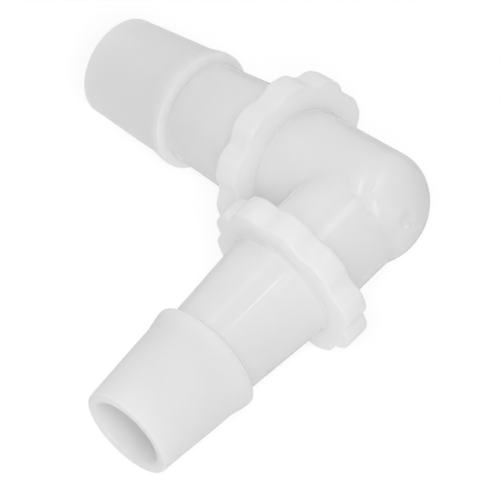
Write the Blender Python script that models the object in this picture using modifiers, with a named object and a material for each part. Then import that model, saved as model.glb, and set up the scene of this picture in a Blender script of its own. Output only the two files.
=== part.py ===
"""Elbow hose connector: a right-angle barbed hose fitting, moulded in one piece.

The through arm is a straight tube, open at its tip and closed past the corner by a dome. The side arm
leaves it at a right angle. Each arm has a barb for the hose and a lobed flange that stops the hose.
The elbow is drawn flat, with the two axes crossing at its origin, the through arm along +X and the side
arm along +Y. It is then laid down as it comes to rest: on the lobes of both flanges and on both tips.
All sizes are in metres, and a station is a distance along an arm from the crossing of the axes.
"""

import math

import bmesh
import bpy
from mathutils import Matrix, Vector

# Arm, the same on both sides
ARM_LENGTH = 0.0400
TIP_DIAMETER = 0.01172
TIP_ROUNDING = 0.0003
NOSE_LENGTH = 0.0105
NOSE_END_DIAMETER = 0.01320
CREST_STATION = 0.0270
CREST_DIAMETER = 0.01424
CREST_ROUNDING = 0.0005
BARB_BACK_LENGTH = 0.0007
BARB_BACK_ANGLE = math.radians(70)
NECK_DIAMETER_AT_BARB = 0.0120
NECK_DIAMETER_AT_FLANGE = 0.01386

# Flange
FLANGE_INNER_STATION = 0.0109
FLANGE_THICKNESS = 0.0030
FLANGE_DIAMETER = 0.0206
LOBE_COUNT = 10
VALLEY_DEPTH = 0.00075
VALLEY_WIDTH = 0.0048
RIM_ROUNDING = 0.0004
ROOT_FILLET = 0.0004

# Corner
THROUGH_BODY_DIAMETER = 0.0136
SIDE_BODY_DIAMETER = 0.0132
DOME_START = 0.0014
DOME_DEPTH = 0.0057
DOME_WALL = 0.0023
GATE_DIAMETER = 0.0022
GATE_FLOOR_DIAMETER = 0.0013
GATE_DEPTH = 0.00025

# Bores, measured at the corner, from where they widen to the mouths
THROUGH_BORE_DIAMETER = 0.0090
SIDE_BORE_DIAMETER = 0.0086
BORE_DRAFT = math.radians(0.25)

# Fineness of the round forms
TURN_STEPS = 48
LOBE_STEPS = 10
ARC_STEPS = 3
DOME_STEPS = 8
RIM_SEGMENTS = 2
RIM_EDGE_ANGLE = math.radians(60)
CREASE_ANGLE = math.radians(35)
FLAT_ANGLE = math.radians(0.1)
MERGE_DISTANCE = 0.000005
CUT_MARGIN = 0.001
SINK_ANGLE = math.radians(20)
SINK_DEPTH = 0.0001

MATERIAL_COLOUR = (0.80, 0.80, 0.79, 1.0)
MATERIAL_ROUGHNESS = 0.32

# Each arm's turn about Z, and the angle of its first facet: half a step apart, so that no edge of one
# arm runs into an edge of the other
THROUGH_ARM = (0.0, 0.0)
SIDE_ARM = (math.pi / 2, math.pi / TURN_STEPS)


def clear_scene():
    for old in list(bpy.data.objects):
        bpy.data.objects.remove(old, do_unlink=True)


def new_collection(name):
    collection = bpy.data.collections.new(name)
    bpy.context.scene.collection.children.link(collection)
    return collection


def arc(centre, radius, start, end, steps):
    """Points (radius, station) on an arc, angles measured from outward towards the tip."""
    points = []
    for step in range(steps + 1):
        angle = start + (end - start) * step / steps
        points.append((centre[0] + radius * math.cos(angle), centre[1] + radius * math.sin(angle)))
    return points


def barb_profile():
    """The nose and barb, from the axis at the tip down to the neck behind the barb."""
    tip_radius = TIP_DIAMETER / 2
    crest_radius = CREST_DIAMETER / 2
    tip_centre = (tip_radius - TIP_ROUNDING, ARM_LENGTH - TIP_ROUNDING)
    nose_end = (NOSE_END_DIAMETER / 2, ARM_LENGTH - NOSE_LENGTH)
    flare_slope = math.atan2(crest_radius - nose_end[0], nose_end[1] - CREST_STATION)
    crest_centre = (crest_radius - CREST_ROUNDING, CREST_STATION)
    profile = [(0.0, ARM_LENGTH)]
    profile += arc(tip_centre, TIP_ROUNDING, math.pi / 2, 0.0, ARC_STEPS)
    profile.append(nose_end)
    profile += arc(crest_centre, CREST_ROUNDING, flare_slope, -BARB_BACK_ANGLE, ARC_STEPS)
    profile.append((NECK_DIAMETER_AT_BARB / 2, CREST_STATION - BARB_BACK_LENGTH))
    return profile


def root_fillet(wall_radius, face_station, tipward):
    """A fillet from an arm's wall out to a flange face, ending just under the face.

    tipward is 1 on the face towards the tip and -1 on the face towards the corner. The points run
    from the wall to the face, and the last one sinks below the face, which a union then trims.
    """
    centre = (wall_radius + ROOT_FILLET, ROOT_FILLET)
    points = arc(centre, ROOT_FILLET, math.pi, 1.5 * math.pi - SINK_ANGLE, ARC_STEPS)
    drop = points[-1][1] + SINK_DEPTH
    points.append((points[-1][0] + drop / math.tan(SINK_ANGLE), -SINK_DEPTH))
    return [(radius, face_station + tipward * height) for radius, height in points]


def arm_profile(body_radius):
    """Outside of an arm, from the axis at the tip down to where the body leaves the flange."""
    outer_face = FLANGE_INNER_STATION + FLANGE_THICKNESS
    neck_fillet = root_fillet(NECK_DIAMETER_AT_FLANGE / 2, outer_face, 1)
    body_fillet = root_fillet(body_radius, FLANGE_INNER_STATION, -1)
    return barb_profile() + neck_fillet + body_fillet[::-1]


def dome_profile(radius, depth, end_radius):
    """Half an ellipse that closes a tube past the corner, from its wall in to a smaller radius."""
    last_angle = math.acos(end_radius / radius)
    points = []
    for step in range(DOME_STEPS + 1):
        angle = last_angle * step / DOME_STEPS
        points.append((radius * math.cos(angle), -DOME_START - depth * math.sin(angle)))
    return points


def gated_dome_profile():
    """The outer dome, with the shallow round dimple of the moulding gate at its end."""
    floor = -DOME_START - DOME_DEPTH + GATE_DEPTH
    dome = dome_profile(THROUGH_BODY_DIAMETER / 2, DOME_DEPTH, GATE_DIAMETER / 2)
    return dome + [(GATE_FLOOR_DIAMETER / 2, floor), (0.0, floor)]


def turned(name, profile, arm, collection):
    """A solid turned from a profile of (radius, station), with its axis along an arm."""
    turn, first_angle = arm
    mesh = bpy.data.meshes.new(name)
    across, along = math.cos(first_angle), math.sin(first_angle)
    vertices = [(radius * across, radius * along, station) for radius, station in profile]
    edges = [(index, index + 1) for index in range(len(profile) - 1)]
    mesh.from_pydata(vertices, edges, [])
    solid = bpy.data.objects.new(name, mesh)
    collection.objects.link(solid)
    screw = solid.modifiers.new("Turn", "SCREW")
    screw.steps = TURN_STEPS
    screw.render_steps = TURN_STEPS
    screw.use_merge_vertices = True
    screw.merge_threshold = MERGE_DISTANCE
    solid.rotation_euler = (0.0, math.pi / 2, turn)
    return solid


def rim_radius(angle):
    """Radius of the flange's lobed rim. A valley lies at angle 0, and a lobe half a pitch away."""
    pitch = 2 * math.pi / LOBE_COUNT
    from_valley = abs((angle + pitch / 2) % pitch - pitch / 2)
    reach = VALLEY_WIDTH / FLANGE_DIAMETER
    if from_valley >= reach:
        return FLANGE_DIAMETER / 2
    return FLANGE_DIAMETER / 2 - VALLEY_DEPTH * (1 + math.cos(math.pi * from_valley / reach)) / 2


def flange(name, arm, collection):
    """A plate with a lobed outline and a rounded rim, square to an arm."""
    curve = bpy.data.curves.new(name + "_outline", "CURVE")
    curve.dimensions = "2D"
    curve.fill_mode = "BOTH"
    curve.extrude = FLANGE_THICKNESS / 2
    outline = curve.splines.new("POLY")
    count = LOBE_COUNT * LOBE_STEPS
    outline.points.add(count - 1)
    outline.use_cyclic_u = True
    for index, point in enumerate(outline.points):
        angle = 2 * math.pi * index / count
        radius = rim_radius(angle)
        point.co = (radius * math.cos(angle), radius * math.sin(angle), 0.0, 1.0)
    drawn = bpy.data.objects.new(name + "_outline", curve)
    collection.objects.link(drawn)
    plate = bpy.data.objects.new(name, mesh_of(drawn))
    collection.objects.link(plate)
    bpy.data.objects.remove(drawn)
    close_caps(plate.data)
    rim = plate.modifiers.new("Rim", "BEVEL")
    rim.width = RIM_ROUNDING
    rim.segments = RIM_SEGMENTS
    rim.limit_method = "ANGLE"
    rim.angle_limit = RIM_EDGE_ANGLE
    turn = arm[0]
    middle = FLANGE_INNER_STATION + FLANGE_THICKNESS / 2
    plate.location = (middle * math.cos(turn), middle * math.sin(turn), 0.0)
    plate.rotation_euler = (0.0, math.pi / 2, turn)
    return plate


def close_caps(mesh):
    """Weld the loose caps of a drawn plate to its wall, and make each cap one face."""
    shape = bmesh.new()
    shape.from_mesh(mesh)
    bmesh.ops.remove_doubles(shape, verts=shape.verts, dist=MERGE_DISTANCE)
    bmesh.ops.dissolve_limit(shape, angle_limit=FLAT_ANGLE, verts=shape.verts, edges=shape.edges)
    shape.to_mesh(mesh)
    shape.free()


def mesh_of(source):
    """The mesh of an object with its modifiers applied."""
    bpy.context.view_layer.update()
    depsgraph = bpy.context.evaluated_depsgraph_get()
    return bpy.data.meshes.new_from_object(source.evaluated_get(depsgraph))


def combine(target, tool, operation):
    """Join a tool to the target, or cut it out, and weld the points that meet on their crossing."""
    boolean = target.modifiers.new(tool.name, "BOOLEAN")
    boolean.object = tool
    boolean.operation = operation
    weld = target.modifiers.new(tool.name + "_weld", "WELD")
    weld.merge_threshold = MERGE_DISTANCE
    tool.hide_render = True
    tool.display_type = "WIRE"


def moulding_material():
    material = bpy.data.materials.new("natural_polypropylene")
    material.use_nodes = True
    shader = material.node_tree.nodes["Principled BSDF"]
    shader.inputs["Base Color"].default_value = MATERIAL_COLOUR
    shader.inputs["Roughness"].default_value = MATERIAL_ROUGHNESS
    shader.inputs["Metallic"].default_value = 0.0
    return material


def moulded_elbow(parts, tools):
    """The whole elbow in one closed body, flat on the plane of its two axes."""
    through_radius = THROUGH_BODY_DIAMETER / 2
    side_radius = SIDE_BODY_DIAMETER / 2
    through_outside = arm_profile(through_radius) + gated_dome_profile()
    side_outside = arm_profile(side_radius) + [(side_radius, 0.0), (0.0, 0.0)]
    shape = turned("through_arm", through_outside, THROUGH_ARM, tools)
    combine(shape, turned("side_arm", side_outside, SIDE_ARM, tools), "UNION")
    for name, arm in (("through_flange", THROUGH_ARM), ("side_flange", SIDE_ARM)):
        combine(shape, flange(name, arm, tools), "UNION")
    for bore in bores(tools):
        combine(shape, bore, "DIFFERENCE")
    mesh = mesh_of(shape)
    mesh.transform(shape.matrix_world)
    shape.hide_render = True
    shape.display_type = "WIRE"
    mesh.name = "elbow_connector"
    mesh.shade_smooth()
    mesh.set_sharp_from_angle(angle=CREASE_ANGLE)
    elbow = bpy.data.objects.new("elbow_connector", mesh)
    parts.objects.link(elbow)
    elbow.data.materials.clear()
    elbow.data.materials.append(moulding_material())
    return elbow


def bores(tools):
    """The through bore ends in a dome inside the outer one, and the side bore opens into it."""
    mouth = ARM_LENGTH + CUT_MARGIN
    widening = mouth * math.tan(BORE_DRAFT)
    through_radius = THROUGH_BORE_DIAMETER / 2
    side_radius = SIDE_BORE_DIAMETER / 2
    through = [(0.0, mouth), (through_radius + widening, mouth), (through_radius, 0.0)]
    through += dome_profile(through_radius, DOME_DEPTH - DOME_WALL, 0.0)
    side = [(0.0, mouth), (side_radius + widening, mouth), (side_radius, 0.0), (0.0, 0.0)]
    return [turned("through_bore", through, THROUGH_ARM, tools), turned("side_bore", side, SIDE_ARM, tools)]


def tilted(tilt):
    """Rotation that lowers both tips by an angle, about the line square to the elbow's diagonal."""
    return Matrix.Rotation(tilt, 4, Vector((-1.0, 1.0, 0.0)))


def resting_tilt(points):
    """The angle at which the tips and the flanges reach down to the same level."""
    flange_end = FLANGE_INNER_STATION + FLANGE_THICKNESS
    near = [point for point in points if max(point.x, point.y) <= flange_end]
    far = [point for point in points if max(point.x, point.y) > flange_end]
    low, high = 0.0, math.radians(45)
    while high - low > 1e-7:
        tilt = (low + high) / 2
        turn = tilted(tilt).to_3x3()
        if min((turn @ point).z for point in far) > min((turn @ point).z for point in near):
            low = tilt
        else:
            high = tilt
    return (low + high) / 2


def lay_down(elbow, parts):
    """Tilt the elbow onto its flanges and tips, over the origin and standing on the ground plane."""
    points = [vertex.co for vertex in elbow.data.vertices]
    turn = tilted(resting_tilt(points))
    placed = [turn @ point for point in points]
    centre = [(min(p[axis] for p in placed) + max(p[axis] for p in placed)) / 2 for axis in (0, 1)]
    lift = -min(point.z for point in placed)
    rest = bpy.data.objects.new("resting_frame", None)
    parts.objects.link(rest)
    rest.rotation_mode = "QUATERNION"
    rest.rotation_quaternion = turn.to_quaternion()
    rest.location = (-centre[0], -centre[1], lift)
    elbow.parent = rest


def main():
    clear_scene()
    parts = new_collection("elbow_hose_connector")
    tools = new_collection("elbow_cutters")
    elbow = moulded_elbow(parts, tools)
    lay_down(elbow, parts)


main()
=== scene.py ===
"""Dresses the elbow hose connector: its fine moulded skin, its plastic, and the studio round it.

The elbow is shaped flat, with the two axes crossing at the origin, the through arm along +X and
the side arm along +Y, and is then laid down as the solid part lies: on its flanges and both tips.
"""

import math

import bmesh
import bpy
from bpy.props import FloatProperty, IntProperty, PointerProperty
from mathutils import Matrix, Vector


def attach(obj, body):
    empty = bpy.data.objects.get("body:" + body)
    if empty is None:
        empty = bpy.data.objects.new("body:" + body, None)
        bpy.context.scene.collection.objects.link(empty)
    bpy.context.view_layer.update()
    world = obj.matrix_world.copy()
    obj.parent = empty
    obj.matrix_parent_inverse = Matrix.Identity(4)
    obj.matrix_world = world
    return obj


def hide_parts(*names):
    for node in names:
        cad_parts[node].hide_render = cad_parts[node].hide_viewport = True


bl_info = {
    "name": "Elbow Hose Connector",
    "version": (1, 0, 0),
    "blender": (4, 5, 0),
    "location": "View3D > Sidebar > Elbow",
    "description": "Builds a moulded right-angle hose connector and the studio that shows it",
    "category": "Add Mesh",
}

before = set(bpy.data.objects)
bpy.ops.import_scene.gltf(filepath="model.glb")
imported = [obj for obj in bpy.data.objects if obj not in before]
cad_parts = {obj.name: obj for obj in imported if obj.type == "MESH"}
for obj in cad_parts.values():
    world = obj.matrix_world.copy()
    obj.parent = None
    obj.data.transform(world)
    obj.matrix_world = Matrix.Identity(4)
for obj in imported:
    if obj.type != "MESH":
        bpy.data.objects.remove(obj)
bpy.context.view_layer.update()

NODE = "elbow_connector"

# How finely the forms are drawn
TURN_STEPS = 192
BLEND_STEPS = 7
BODY_RING_SPACING = 0.00028
HOLDING_RING = 0.00012
HELD_STRETCH = 4 * HOLDING_RING
DOME_RINGS = 90
DOME_CROWDING = 1.5
FILLET_ROUNDS = 5
MERGE_DISTANCE = 0.000002
CREASE_ANGLE = math.radians(40)

# Along an arm: where its nose flares, its barb from crest to foot, and its flange's two faces
FLARE_START = 0.0315
FLARE_END = 0.0293
CREST_START = 0.02722
CREST_END = 0.02658
BARB_FOOT = 0.02602
THROUGH_FLANGE = (0.01088, 0.01412)
SIDE_FLANGE = (0.01070, 0.01408)

# Radii there, and of the neck, which widens from the barb to the flange
FLARE_START_RADIUS = 0.00650
FLARE_END_RADIUS = 0.00664
NECK_AT_BARB_RADIUS = 0.00600
NECK_AT_FLANGE_RADIUS = 0.00694

# Radii of the roundings along an arm
TIP_BLEND = 0.00030
FLARE_START_BLEND = 0.012
FLARE_END_BLEND = 0.0035
CREST_BLEND = 0.00080
BARB_BACK_BLEND = 0.00022
BARB_FOOT_BLEND = 0.00016
NECK_ROOT_BLEND = 0.00060
RIM_BLEND = 0.00040
BODY_ROOT_BLEND = 0.00040

# The valleys between the lobes of a flange, and the stretch of an arm that holds them
VALLEY_WIDTH = 0.0048
VALLEY_START_RADIUS = 0.0078
VALLEY_FULL_RADIUS = 0.0095
FLANGE_ZONE = (0.0104, 0.0144)

# The two bodies behind the flanges, and the dome that closes the through arm
THROUGH_BODY_RADIUS = 0.00678
SIDE_BODY_RADIUS = 0.00658
BODY_END = 0.0098
DOME_START = 0.0014
DOME_DEPTH = 0.00568

# The passages: radius at the crossing and at the mouth, the rounded end of the through one, and
# the softened mouth
THROUGH_BORE_RADII = (0.0045, 0.00467)
SIDE_BORE_RADII = (0.0043, 0.00447)
BORE_DOME_DEPTH = 0.0034
MOUTH_BLEND = 0.00025
MOUTH_SET_BACK = 0.00005
CUTTER_REACH = 0.0010

# Gate mark on the dome, seen along the through arm: a dent, and in it the stub of the gate
DENT_PLACE = (-0.0001, 0.0011)
DENT_RADIUS = 0.0014
DENT_DEPTH = 0.00028
STUB_PLACE = (0.0002, 0.0004)
STUB_RADIUS = 0.0005
STUB_HEIGHT = 0.00018

# How the solid part lies: the crossing of the axes, and the tilt that lowers both tips
CORNER_PLACE = Vector((-0.0149673, -0.0149677, 0.0123624))
REST_TILT = math.radians(13.5676)

# The plastic: its tints, where it is matt, and the whiter tint painted into the flange roots and
# the inside corner as painted light against their shade
BODY_WHITE = "#F7F7F7"
NOSE_WHITE = "#EFEFEF"
FLANGE_WHITE = "#F4F4F4"
PAINTED_LIGHT_WHITE = "#FEFEFE"
MATT_MARGIN = 0.0002
MATT_START = BARB_FOOT - MATT_MARGIN
# Inside this radius the nose keeps the body's white: painted light in the bore
NOSE_INSIDE_RADIUS = 0.0054
ROOT_RADII = (0.0075, 0.0098)
INSIDE_CORNER = (0.0030, 0.0065)

# Its flow marks and the grain of the tool: how large they are, and how strong
FLOW_MARK_SIZE = 0.00588
FLOW_MARK_SPREAD = (0.3, 0.7)
FLOW_MARK_SHARE = 0.2
GRAIN_SIZE = 0.0002
GRAIN_HEIGHT = 0.00001
GRAIN_SHARE = 0.3
PATTERN_DETAIL = 3.0

# The photograph's viewpoint: a long lens, looking down at the corner past the open mouth
CAMERA_PLACE = (-0.833706, 0.816734, 1.275494)
CAMERA_RIGHT = (-0.718689, -0.695087, -0.018472)
CAMERA_UP = (0.503124, -0.538178, 0.676188)
CAMERA_LENS = 1101.2
CAMERA_SENSOR = 36.0
CAMERA_REACH = 100.0

# The light table, with its top a little below the elbow
TABLE_WIDTH = 6.0
TABLE_HEIGHT = -0.0002
TABLE_WHITE = "#F7F7F7"

# Levels of the studio: the table's glow, how much of it the camera and the plastic get, and the
# table and the room as the polish mirrors them
WHITE = (1.0, 1.0, 1.0, 1.0)
TABLE_GLOW = 1.38
GLOW_SEEN = 0.45
GLOW_CAST = 0.215
MIRRORED_TABLE = 0.60
MIRRORED_STUDIO = 0.85

# Soft lights: the middles of two opposite sides, seen from the elbow's corner, the width across,
# and the strips' own share of their level
KEY_LIGHT = ((-0.071, 0.051, 0.082), (-0.000, 0.088, 0.082), 0.08)
FRONT_FILL = ((-0.170, 0.118, 0.220), (-0.118, 0.169, 0.222), 0.072)
BACK_LIGHT = ((0.283, -0.032, 0.240), (0.098, -0.268, 0.240), 0.30)
STRIPS = (
    ((-0.043, -0.147, 0.258), (-0.089, -0.035, 0.265), 0.070, 0.48),
    ((-0.094, -0.028, 0.265), (-0.125, 0.045, 0.269), 0.010, 1.5),
    ((-0.145, -0.048, 0.243), (-0.175, 0.026, 0.248), 0.010, 0.9),
    ((-0.183, 0.079, 0.224), (-0.269, 0.108, 0.078), 0.050, 0.65),
    ((-0.034, 0.166, 0.248), (0.068, 0.031, 0.291), 0.050, 0.70),
    ((0.068, 0.031, 0.291), (0.133, -0.062, 0.262), 0.040, 0.25),
)


class ElbowSizes(bpy.types.PropertyGroup):
    """Sizes of the moulding."""

    arm_length: FloatProperty(
        name="Arm length", description="From the crossing of the axes to the tip",
        default=0.03993, unit="LENGTH")
    tip_radius: FloatProperty(
        name="Tip radius", description="Outside radius of the nose at the tip",
        default=0.00584, unit="LENGTH")
    crest_radius: FloatProperty(
        name="Barb radius", description="Radius over the crest of the barb",
        default=0.00710, unit="LENGTH")
    flange_radius: FloatProperty(
        name="Flange radius", description="Radius over the lobes of a flange",
        default=0.01024, unit="LENGTH")
    valley_depth: FloatProperty(
        name="Valley depth", description="How far the valleys between the lobes reach in",
        default=0.00075, unit="LENGTH")
    lobe_count: IntProperty(
        name="Lobes", description="Lobes round each flange", default=10, min=3)
    crease_blend: FloatProperty(
        name="Crease fillet", description="Fillet where the side arm leaves the through arm",
        default=0.00035, unit="LENGTH")


class StudioLook(bpy.types.PropertyGroup):
    """Floor and light of the studio."""

    surround: FloatProperty(
        name="Surround", description="Brightness of the even light from all round",
        default=0.48)
    key_level: FloatProperty(
        name="Key light", description="Brightness of the near soft light over the mouth",
        default=0.8)
    fill_level: FloatProperty(
        name="Front fill", description="Brightness of the soft light beside the camera",
        default=10.0)
    back_level: FloatProperty(
        name="Back light", description="Brightness of the large soft light behind the elbow",
        default=0.84)
    strip_level: FloatProperty(
        name="Strip lights", description="Brightness of the lights that the polish mirrors",
        default=3.0)


def laid_down():
    """The turn that lays the flat elbow down on its flanges and tips."""
    return Matrix.Rotation(REST_TILT, 4, Vector((-1.0, 1.0, 0.0)))


def rounded(corners):
    """Points of a profile, each corner (radius, station, blend) rounded to its blend radius."""
    points = []
    last = len(corners) - 1
    for index, (radius, station, blend) in enumerate(corners):
        here = Vector((radius, station))
        if index in (0, last) or blend == 0.0:
            points.append(here)
            continue
        before = (Vector(corners[index - 1][:2]) - here).normalized()
        after = (Vector(corners[index + 1][:2]) - here).normalized()
        half = before.angle(after) / 2
        middle = (before + after).normalized()
        centre = here + middle * blend / math.sin(half)
        start = (here + before * blend / math.tan(half)) - centre
        sweep = start.angle_signed((here + after * blend / math.tan(half)) - centre)
        for step in range(BLEND_STEPS + 1):
            turn = Matrix.Rotation(-sweep * step / BLEND_STEPS, 2)
            points.append(centre + turn @ start)
    return points


def between(start, end, spacing):
    """Points spread evenly from one end of a straight stretch to the other, both ends left out."""
    start, end = Vector(start), Vector(end)
    count = max(1, round((end - start).length / spacing))
    return [start.lerp(end, step / count) for step in range(1, count)]


def held(points):
    """Adds a point close to each end of a long stretch, to keep it flat up to the roundings."""
    profile = points[:1]
    for start, end in zip(points, points[1:]):
        stretch = end - start
        if stretch.length > HELD_STRETCH:
            step = stretch.normalized() * HOLDING_RING
            profile += [start + step, end - step]
        profile.append(end)
    return profile


def arm_profile(sizes, body_radius, flange):
    """Outside of an arm from its axis at the tip, over nose, barb, neck and flange, to its body."""
    inner, outer = flange
    tip = sizes.arm_length
    rim = sizes.flange_radius
    return held(rounded([
        (0.0, tip, 0.0),
        (sizes.tip_radius, tip, TIP_BLEND),
        (FLARE_START_RADIUS, FLARE_START, FLARE_START_BLEND),
        (FLARE_END_RADIUS, FLARE_END, FLARE_END_BLEND),
        (sizes.crest_radius, CREST_START, CREST_BLEND),
        (sizes.crest_radius, CREST_END, BARB_BACK_BLEND),
        (NECK_AT_BARB_RADIUS, BARB_FOOT, BARB_FOOT_BLEND),
        (NECK_AT_FLANGE_RADIUS, outer, NECK_ROOT_BLEND),
        (rim, outer, RIM_BLEND),
        (rim, inner, RIM_BLEND),
        (body_radius, inner, BODY_ROOT_BLEND),
        (body_radius, BODY_END, 0.0),
    ]))


def dome_points(radius, start, depth):
    """Half an ellipse that closes the through arm past the corner, with more rings at the gate."""
    points = []
    for ring in range(1, DOME_RINGS + 1):
        angle = math.pi / 2 * (1.0 - (1.0 - ring / DOME_RINGS) ** DOME_CROWDING)
        points.append(Vector((radius * math.cos(angle), -start - depth * math.sin(angle))))
    points[-1].x = 0.0
    return points


def turned(name, profile, along_x):
    """A solid spun from a profile of (radius, station) about an arm's axis."""
    shape = bmesh.new()
    corners = [shape.verts.new((station, 0.0, radius)) for radius, station in profile]
    lines = [shape.edges.new(pair) for pair in zip(corners, corners[1:])]
    bmesh.ops.spin(
        shape, geom=corners + lines, cent=(0.0, 0.0, 0.0), axis=(1.0, 0.0, 0.0),
        dvec=(0.0, 0.0, 0.0), angle=2 * math.pi, steps=TURN_STEPS, use_merge=True)
    bmesh.ops.remove_doubles(shape, verts=shape.verts, dist=MERGE_DISTANCE)
    if not along_x:
        # Half a step of turn keeps the two arms' edges off each other where they cross
        half_step = Matrix.Rotation(math.pi / TURN_STEPS, 3, "X")
        turn = Matrix.Rotation(math.pi / 2, 3, "Z") @ half_step
        bmesh.ops.transform(shape, matrix=turn, verts=shape.verts)
    bmesh.ops.recalc_face_normals(shape, faces=shape.faces)
    mesh = bpy.data.meshes.new(name)
    shape.to_mesh(mesh)
    shape.free()
    solid = bpy.data.objects.new(name, mesh)
    bpy.context.scene.collection.objects.link(solid)
    return solid


def scallop(solid, sizes, along_x):
    """Draws the rim of an arm's flange in to its valleys."""
    pitch = 2 * math.pi / sizes.lobe_count
    reach = VALLEY_WIDTH / (2 * sizes.flange_radius)
    start, full = VALLEY_START_RADIUS, VALLEY_FULL_RADIUS
    for vertex in solid.data.vertices:
        place = vertex.co
        station = place.x if along_x else place.y
        across = place.y if along_x else place.x
        radius = math.hypot(across, place.z)
        if not FLANGE_ZONE[0] < station < FLANGE_ZONE[1] or radius < start:
            continue
        angle = math.atan2(across, place.z)
        from_valley = abs((angle + pitch / 2) % pitch - pitch / 2)
        if from_valley >= reach:
            continue
        inward = sizes.valley_depth * (1 + math.cos(math.pi * from_valley / reach)) / 2
        inward *= min(1.0, (radius - start) / (full - start))
        shrink = (radius - inward) / radius
        place.z *= shrink
        if along_x:
            place.y *= shrink
        else:
            place.x *= shrink


def press_gate(solid):
    """Dents the dome where the plastic flowed in, and leaves the torn-off stub in the dent."""
    for vertex in solid.data.vertices:
        place = vertex.co
        if place.x > -DOME_START:
            continue
        face = Vector((place.y, place.z))
        from_dent = (face - Vector(DENT_PLACE)).length / DENT_RADIUS
        from_stub = (face - Vector(STUB_PLACE)).length / STUB_RADIUS
        if from_dent < 1.0:
            place.x += DENT_DEPTH * (1.0 - from_dent ** 2) ** 2
        if from_stub < 1.0:
            place.x -= STUB_HEIGHT * (1.0 - from_stub ** 4) ** 2


def outer_arm(name, sizes, along_x):
    """One arm in the solid, with its barb, neck and lobed flange."""
    if along_x:
        body, start, flange = THROUGH_BODY_RADIUS, -DOME_START, THROUGH_FLANGE
    else:
        body, start, flange = SIDE_BODY_RADIUS, 0.0, SIDE_FLANGE
    profile = arm_profile(sizes, body, flange)
    profile += between((body, BODY_END), (body, start), BODY_RING_SPACING)
    profile.append(Vector((body, start)))
    profile += dome_points(body, DOME_START, DOME_DEPTH) if along_x else [Vector((0.0, 0.0))]
    solid = turned(name, profile, along_x)
    scallop(solid, sizes, along_x)
    if along_x:
        press_gate(solid)
    return solid


def bore(name, sizes, along_x):
    """The passage through an arm, widening a little to a softened mouth."""
    tip = sizes.arm_length
    inner, mouth = THROUGH_BORE_RADII if along_x else SIDE_BORE_RADII
    rim = (mouth + sizes.tip_radius) / 2
    profile = rounded([
        (0.0, tip + CUTTER_REACH, 0.0),
        (rim, tip + CUTTER_REACH, 0.0),
        (rim, tip + MOUTH_SET_BACK, 0.0),
        (mouth, tip - MOUTH_SET_BACK, MOUTH_BLEND),
        (inner, 0.0, 0.0),
    ])
    if along_x:
        profile.append(Vector((inner, -DOME_START)))
        profile += dome_points(inner, DOME_START, BORE_DOME_DEPTH)
    else:
        profile.append(Vector((0.0, 0.0)))
    return turned(name, profile, along_x)


def join(target, tool, operation):
    """Joins a tool to the target, or cuts it out, and takes the tool away."""
    boolean = target.modifiers.new(tool.name, "BOOLEAN")
    boolean.object = tool
    boolean.operation = operation
    weld = target.modifiers.new(tool.name + "_weld", "WELD")
    weld.merge_threshold = MERGE_DISTANCE
    graph = bpy.context.evaluated_depsgraph_get()
    graph.update()
    mesh = bpy.data.meshes.new_from_object(target.evaluated_get(graph))
    target.modifiers.clear()
    target.data = mesh
    bpy.data.objects.remove(tool)


def through_skin(place):
    """Signed distance to the through arm's body with its dome, and the way it faces."""
    across = Vector((0.0, place.y, place.z))
    past = place.x + DOME_START
    if past >= 0.0:
        return across.length - THROUGH_BODY_RADIUS, across.normalized()
    reach = math.hypot(past / DOME_DEPTH, across.length / THROUGH_BODY_RADIUS)
    slope = across / THROUGH_BODY_RADIUS ** 2
    slope.x = past / DOME_DEPTH ** 2
    slope /= reach
    return (reach - 1.0) / slope.length, slope.normalized()


def side_skin(place):
    """Signed distance to the side arm's body, and the way it faces."""
    across = Vector((place.x, 0.0, place.z))
    return across.length - SIDE_BODY_RADIUS, across.normalized()


def blend_crease(mesh, fillet):
    """Fills the line where the two bodies meet with a fillet, which fades as they run together."""
    for vertex in mesh.vertices:
        place = vertex.co.copy()
        if place.y < 0.0 or max(place.x, place.y) > BODY_END:
            continue
        for _ in range(FILLET_ROUNDS):
            (first, one_way), (second, other_way) = through_skin(place), side_skin(place)
            width = max(fillet * one_way.cross(other_way).length, MERGE_DISTANCE)
            overlap = max(width - abs(first - second), 0.0) / width
            if overlap == 0.0:
                break
            share = overlap / 2 if first < second else 1.0 - overlap / 2
            facing = one_way.lerp(other_way, share)
            value = min(first, second) - overlap * overlap * width / 4
            place -= facing * value / facing.length_squared
        vertex.co = place


def hex_colour(code):
    """Linear colour of an sRGB hex value."""
    channels = [int(code[index:index + 2], 16) / 255 for index in (1, 3, 5)]
    linear = [c / 12.92 if c <= 0.04045 else ((c + 0.055) / 1.055) ** 2.4 for c in channels]
    return (*linear, 1.0)


def add_node(tree, kind, settings=None, links=None):
    """Adds a node, sets its properties and sockets, and links sockets from other nodes to it."""
    node = tree.nodes.new(kind)
    for name, value in (settings or {}).items():
        if isinstance(name, int) or name in node.inputs:
            node.inputs[name].default_value = value
        else:
            setattr(node, name, value)
    for name, source in (links or {}).items():
        tree.links.new(source, node.inputs[name])
    return node


def maths(tree, operation, *values):
    """Result of a maths node on plain numbers and on other nodes' sockets."""
    settings = {"operation": operation}
    links = {}
    for index, value in enumerate(values):
        group = links if isinstance(value, bpy.types.NodeSocket) else settings
        group[index] = value
    return add_node(tree, "ShaderNodeMath", settings, links).outputs[0]


def mixed_tint(tree, share, first, second):
    """Colour that goes from the first to the second tint; each is a hex value or a socket."""
    links = {0: share}
    settings = {"data_type": "RGBA", "clamp_factor": False}
    for socket, tint in ((6, first), (7, second)):
        if isinstance(tint, str):
            settings[socket] = hex_colour(tint)
        else:
            links[socket] = tint
    return add_node(tree, "ShaderNodeMix", settings, links).outputs[2]


def new_material(name):
    """An empty material made of nodes."""
    material = bpy.data.materials.new(name)
    material.use_nodes = True
    material.node_tree.nodes.clear()
    return material


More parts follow.
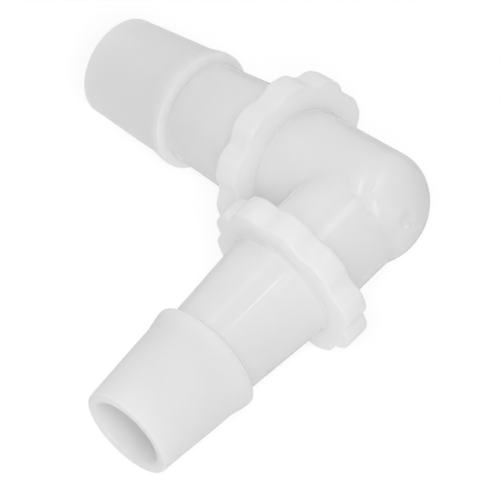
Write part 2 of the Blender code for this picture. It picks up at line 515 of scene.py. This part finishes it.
def places_on_arms(tree, place):
    """Where a point lies: how far out along its own arm and along the other one, and the square
    of its distance from its own arm's axis."""
    from_corner = add_node(tree, "ShaderNodeVectorMath", {
        "operation": "SUBTRACT", 1: CORNER_PLACE}, {0: place}).outputs[0]
    along_x, along_y = [
        add_node(tree, "ShaderNodeVectorMath", {
            "operation": "DOT_PRODUCT", 1: laid_down() @ Vector(axis)}, {
            0: from_corner}).outputs["Value"]
        for axis in ((1.0, 0.0, 0.0), (0.0, 1.0, 0.0))]
    station = maths(tree, "MAXIMUM", along_x, along_y)
    other_station = maths(tree, "MINIMUM", along_x, along_y)
    away = add_node(tree, "ShaderNodeVectorMath", {"operation": "DOT_PRODUCT"}, {
        0: from_corner, 1: from_corner}).outputs["Value"]
    from_axis = maths(tree, "SUBTRACT", away, maths(tree, "POWER", station, 2.0))
    return station, other_station, from_axis


def flow_marks(tree, place):
    """Clouds that the flow of the plastic leaves, hardly there."""
    flow = add_node(tree, "ShaderNodeTexNoise", {
        "Scale": 1 / FLOW_MARK_SIZE, "Detail": PATTERN_DETAIL}, {"Vector": place})
    return add_node(tree, "ShaderNodeMapRange", {
        "From Min": FLOW_MARK_SPREAD[0], "From Max": FLOW_MARK_SPREAD[1],
        "To Min": -FLOW_MARK_SHARE, "To Max": FLOW_MARK_SHARE}, {
        "Value": flow.outputs["Fac"]}).outputs["Result"]


def painted_corner_light(tree, flange, station, other_station, from_axis):
    """1 where light is painted in: at the roots of the flanges and in the inside corner, to lift
    their shade.
    """
    corner = add_node(tree, "ShaderNodeMapRange", {
        "interpolation_type": "SMOOTHSTEP",
        "From Min": INSIDE_CORNER[0], "From Max": INSIDE_CORNER[1]}, {
        "Value": other_station}).outputs["Result"]
    near = maths(tree, "LESS_THAN", station, FLANGE_ZONE[1])
    corner_light = maths(tree, "MAXIMUM", flange, maths(tree, "MULTIPLY", corner, near))
    root = add_node(tree, "ShaderNodeMapRange", {
        "From Min": ROOT_RADII[1] ** 2, "From Max": ROOT_RADII[0] ** 2}, {
        "Value": from_axis}).outputs["Result"]
    return maths(tree, "MULTIPLY", corner_light, root)


def tool_grain(tree, place, matt):
    """Normals of the fine grain that the tool leaves where it isn't polished."""
    skin = add_node(tree, "ShaderNodeTexNoise", {
        "Scale": 1 / GRAIN_SIZE, "Detail": PATTERN_DETAIL}, {"Vector": place})
    return add_node(tree, "ShaderNodeBump", {"Distance": GRAIN_HEIGHT}, {
        "Height": skin.outputs["Fac"],
        "Strength": maths(tree, "MULTIPLY", matt, GRAIN_SHARE)}).outputs["Normal"]


def natural_polypropylene():
    """Undyed polypropylene, injection moulded: milky, and light goes some millimetres into it.

    Shadows are soft and thin walls stay light. The tool is polished at necks and body, which show
    clear narrow highlights, and has a fine matt grain at flanges, barbs and noses, which show none.
    """
    material = new_material("natural_polypropylene")
    tree = material.node_tree
    place = add_node(tree, "ShaderNodeTexCoord").outputs["Object"]
    station, other_station, from_axis = places_on_arms(tree, place)
    # Matt from the barb outwards and on the flange
    middle, half = sum(FLANGE_ZONE) / 2, (FLANGE_ZONE[1] - FLANGE_ZONE[0]) / 2
    flange = maths(tree, "COMPARE", station, middle, half)
    matt = maths(tree, "MAXIMUM", maths(tree, "GREATER_THAN", station, MATT_START), flange)
    # The outside of the nose is painted greyer than the body, painted shade that evens out the
    # brighter sheen it catches, and the flange whiter than the nose. The back of the barb and the
    # bore keep the body's white, painted light against the shade there
    nose = maths(
        tree, "MULTIPLY", maths(tree, "GREATER_THAN", station, CREST_END),
        maths(tree, "GREATER_THAN", from_axis, NOSE_INSIDE_RADIUS ** 2))
    clouded = maths(tree, "ADD", nose, flow_marks(tree, place))
    tint = mixed_tint(tree, clouded, BODY_WHITE, NOSE_WHITE)
    tint = mixed_tint(tree, flange, tint, FLANGE_WHITE)
    # Painted light: a whiter tint at the flange roots and in the inside corner lifts the shade
    # there
    corner_light = painted_corner_light(tree, flange, station, other_station, from_axis)
    tint = mixed_tint(tree, corner_light, tint, PAINTED_LIGHT_WHITE)
    shader = add_node(tree, "ShaderNodeBsdfPrincipled", {
        "Roughness": 0.65,
        "IOR": 1.49,
        "Coat Roughness": 0.10,
        "Coat IOR": 1.49,
        "Subsurface Weight": 1.0,
        "Subsurface Radius": (1.0, 1.0, 1.0),
        "Subsurface Scale": 0.0030,
    }, {
        "Base Color": tint,
        "Coat Weight": maths(tree, "SUBTRACT", 1.0, matt),
        "Normal": tool_grain(tree, place, matt),
    })
    add_node(tree, "ShaderNodeOutputMaterial", None, {"Surface": shader.outputs["BSDF"]})
    return material


class ELBOW_OT_moulding(bpy.types.Operator):
    """Builds the elbow's fine skin in place of the plain solid"""

    bl_idname = "elbow.moulding"
    bl_label = "Moulded Elbow"

    def execute(self, context):
        sizes = context.scene.elbow_sizes
        elbow = outer_arm("moulded_elbow", sizes, True)
        join(elbow, outer_arm("side_arm", sizes, False), "UNION")
        blend_crease(elbow.data, sizes.crease_blend)
        join(elbow, bore("through_bore", sizes, True), "DIFFERENCE")
        join(elbow, bore("side_bore", sizes, False), "DIFFERENCE")
        elbow.data.transform(Matrix.Translation(CORNER_PLACE) @ laid_down())
        elbow.data.shade_smooth()
        elbow.data.set_sharp_from_angle(angle=CREASE_ANGLE)
        elbow.data.materials.clear()
        elbow.data.materials.append(natural_polypropylene())
        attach(elbow, "root")
        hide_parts(NODE)
        return {"FINISHED"}


def mixed_shader(tree, share, first, second):
    """Goes from the first node's shader to the second one's."""
    return add_node(tree, "ShaderNodeMixShader", None, {
        "Fac": share, 1: first.outputs[0], 2: second.outputs[0]})


def opal_light_table():
    """Opal sheet of a light table: it glows a little, and keeps the object's shadow."""
    material = new_material("opal_light_table")
    tree = material.node_tree
    sheet = add_node(tree, "ShaderNodeBsdfDiffuse", {"Color": hex_colour(TABLE_WHITE)})
    glow = add_node(tree, "ShaderNodeEmission", {"Color": WHITE, "Strength": TABLE_GLOW})
    rays = add_node(tree, "ShaderNodeLightPath")
    share = add_node(tree, "ShaderNodeMapRange", {"To Min": GLOW_CAST, "To Max": GLOW_SEEN}, {
        "Value": rays.outputs["Is Camera Ray"]})
    lit = mixed_shader(tree, share.outputs["Result"], sheet, glow)
    dim = add_node(tree, "ShaderNodeEmission", {"Color": WHITE, "Strength": MIRRORED_TABLE})
    table = mixed_shader(tree, rays.outputs["Is Glossy Ray"], lit, dim)
    add_node(tree, "ShaderNodeOutputMaterial", None, {"Surface": table.outputs[0]})
    return material


def even_surround(strength):
    """A white studio all round: plain white to the camera, and a little dimmer in reflections."""
    world = bpy.data.worlds.new("white_studio")
    bpy.context.scene.world = world
    world.use_nodes = True
    tree = world.node_tree
    tree.nodes.clear()
    rays = add_node(tree, "ShaderNodeLightPath")
    soft = add_node(tree, "ShaderNodeBackground", {"Color": WHITE, "Strength": strength})
    dim = add_node(tree, "ShaderNodeBackground", {"Color": WHITE, "Strength": MIRRORED_STUDIO})
    plain = add_node(tree, "ShaderNodeBackground", {"Color": WHITE, "Strength": 1.0})
    lit = mixed_shader(tree, rays.outputs["Is Glossy Ray"], soft, dim)
    studio = mixed_shader(tree, rays.outputs["Is Camera Ray"], lit, plain)
    add_node(tree, "ShaderNodeOutputWorld", None, {"Surface": studio.outputs[0]})


def soft_lamp(name, place, level):
    """A rectangular soft light that faces the elbow's corner, as bright at any size."""
    start, end, width = Vector(place[0]), Vector(place[1]), place[2]
    back = ((start + end) / 2).normalized()
    along = (end - start).normalized()
    lamp = bpy.data.lights.new(name, "AREA")
    lamp.shape = "RECTANGLE"
    lamp.size, lamp.size_y = (end - start).length, width
    lamp.energy = level * math.pi * lamp.size * lamp.size_y
    holder = bpy.data.objects.new(name, lamp)
    bpy.context.scene.collection.objects.link(holder)
    turn = Matrix((along, back.cross(along), back)).transposed()
    holder.matrix_world = Matrix.Translation(CORNER_PLACE + (start + end) / 2) @ turn.to_4x4()
    return holder


def photo_camera():
    """A long lens at the photograph's angle."""
    across = Vector(CAMERA_RIGHT)
    up = Vector(CAMERA_UP)
    back = across.cross(up)
    camera = bpy.data.cameras.new("camera")
    camera.sensor_width = CAMERA_SENSOR
    camera.lens = CAMERA_LENS
    camera.clip_end = CAMERA_REACH
    holder = bpy.data.objects.new("camera", camera)
    bpy.context.scene.collection.objects.link(holder)
    turn = Matrix((across, up, back)).transposed()
    holder.matrix_world = Matrix.Translation(CAMERA_PLACE) @ turn.to_4x4()
    bpy.context.scene.camera = holder


class ELBOW_OT_studio(bpy.types.Operator):
    """Sets the pale floor, the soft light and the camera"""

    bl_idname = "elbow.studio"
    bl_label = "Studio"

    def execute(self, context):
        look = context.scene.studio_look
        bpy.ops.mesh.primitive_plane_add(size=TABLE_WIDTH, location=(0.0, 0.0, TABLE_HEIGHT))
        floor = context.object
        floor.name = "floor"
        floor.data.materials.append(opal_light_table())
        even_surround(look.surround)
        for name, place, level in (
                ("key_light", KEY_LIGHT, look.key_level),
                ("front_fill", FRONT_FILL, look.fill_level),
                ("back_light", BACK_LIGHT, look.back_level)):
            soft_lamp(name, place, level).visible_glossy = False
        for *place, share in STRIPS:
            strip = soft_lamp("strip_light", place, look.strip_level * share)
            strip.visible_diffuse = False
        photo_camera()
        context.scene.view_settings.view_transform = "Standard"
        return {"FINISHED"}


class ELBOW_PT_panel(bpy.types.Panel):
    """Lists the pieces of the scene and their sizes"""

    bl_idname = "ELBOW_PT_panel"
    bl_label = "Elbow Hose Connector"
    bl_space_type = "VIEW_3D"
    bl_region_type = "UI"
    bl_category = "Elbow"

    def draw(self, context):
        for group in (context.scene.elbow_sizes, context.scene.studio_look):
            for name in group.__annotations__:
                self.layout.prop(group, name)
        self.layout.operator(ELBOW_OT_moulding.bl_idname)
        self.layout.operator(ELBOW_OT_studio.bl_idname)


CLASSES = (ElbowSizes, StudioLook, ELBOW_OT_moulding, ELBOW_OT_studio, ELBOW_PT_panel)


def register():
    for cls in CLASSES:
        bpy.utils.register_class(cls)
    bpy.types.Scene.elbow_sizes = PointerProperty(type=ElbowSizes)
    bpy.types.Scene.studio_look = PointerProperty(type=StudioLook)


def unregister():
    del bpy.types.Scene.elbow_sizes
    del bpy.types.Scene.studio_look
    for cls in reversed(CLASSES):
        bpy.utils.unregister_class(cls)


def main():
    register()
    bpy.ops.elbow.moulding()
    bpy.ops.elbow.studio()


if __name__ == "__main__":
    main()
